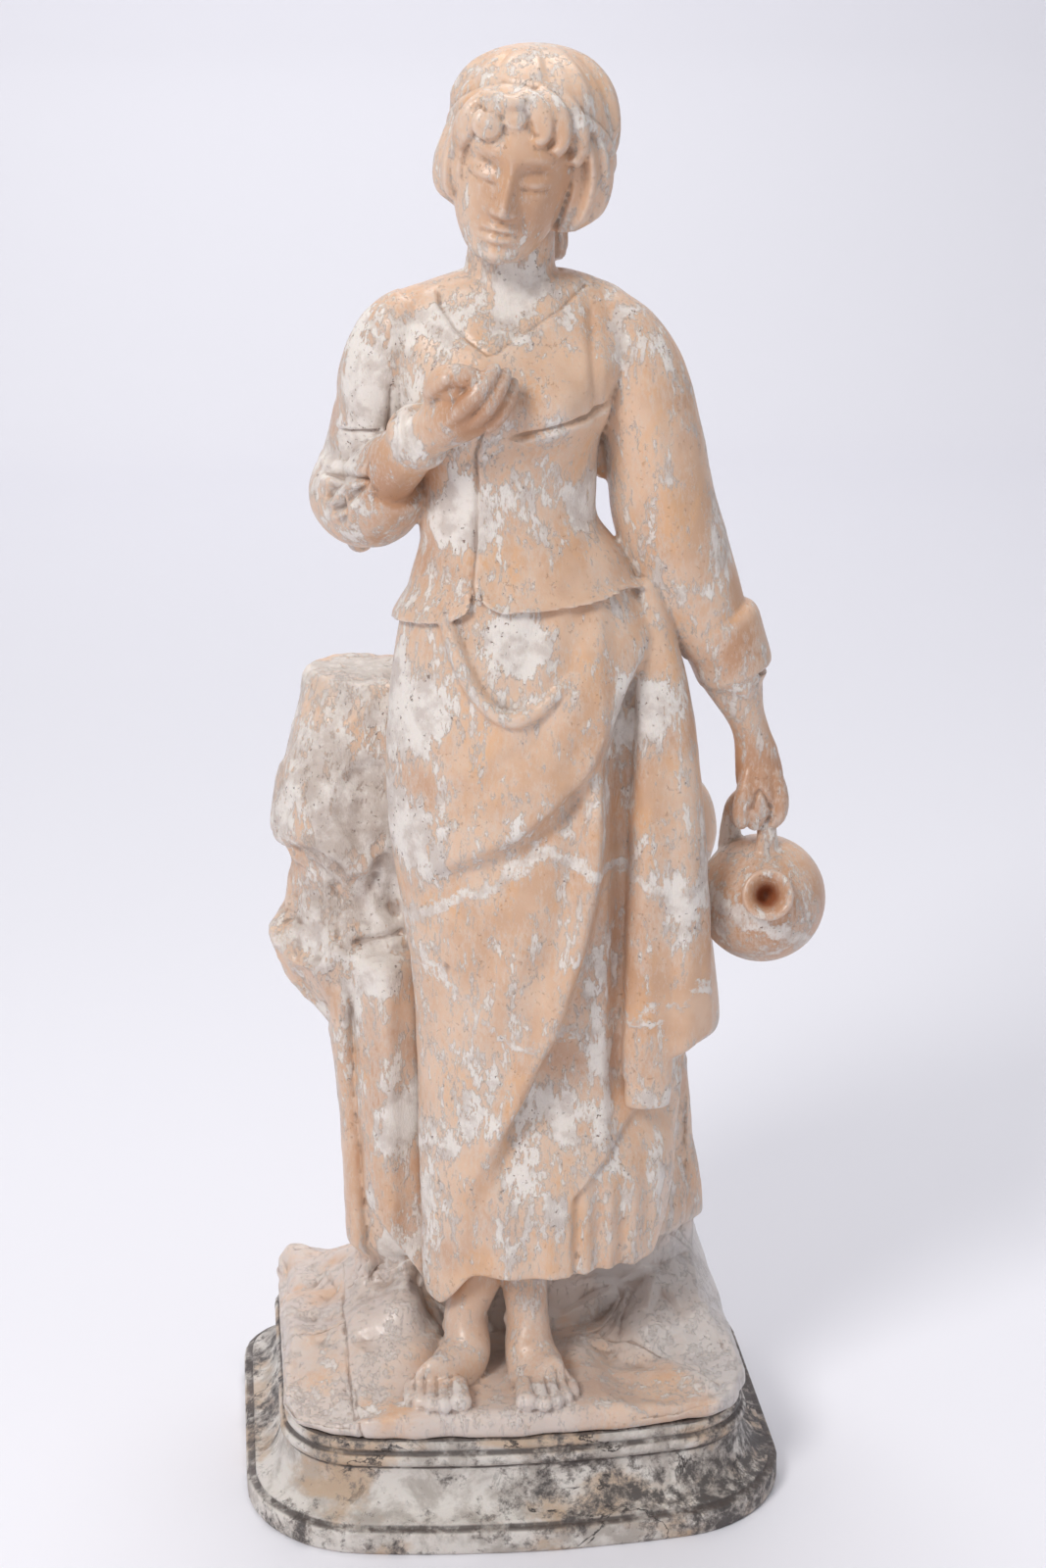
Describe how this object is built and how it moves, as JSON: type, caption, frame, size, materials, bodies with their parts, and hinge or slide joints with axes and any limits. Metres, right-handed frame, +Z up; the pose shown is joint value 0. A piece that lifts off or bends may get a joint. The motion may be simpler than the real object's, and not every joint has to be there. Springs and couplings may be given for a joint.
{
  "type": "statuette with jug",
  "caption": "Carved alabaster statuette of a barefoot girl with a jug, standing before a rock on a moulded marble plinth.",
  "frame": {"origin": "middle of the plinth's underside, which stands on the floor", "axes": "+Z up through the figure, -Y the way the girl faces, +X towards the jug on her left side"},
  "size_m": [0.2891, 0.232, 0.702],
  "materials": {
    "alabaster": "soft polish, chalky where worn",
    "marble": "veined, dull polish"
  },
  "bodies": {
    "root": {"figure": "alabaster", "plinth": "marble"}
  },
  "joints": []
}
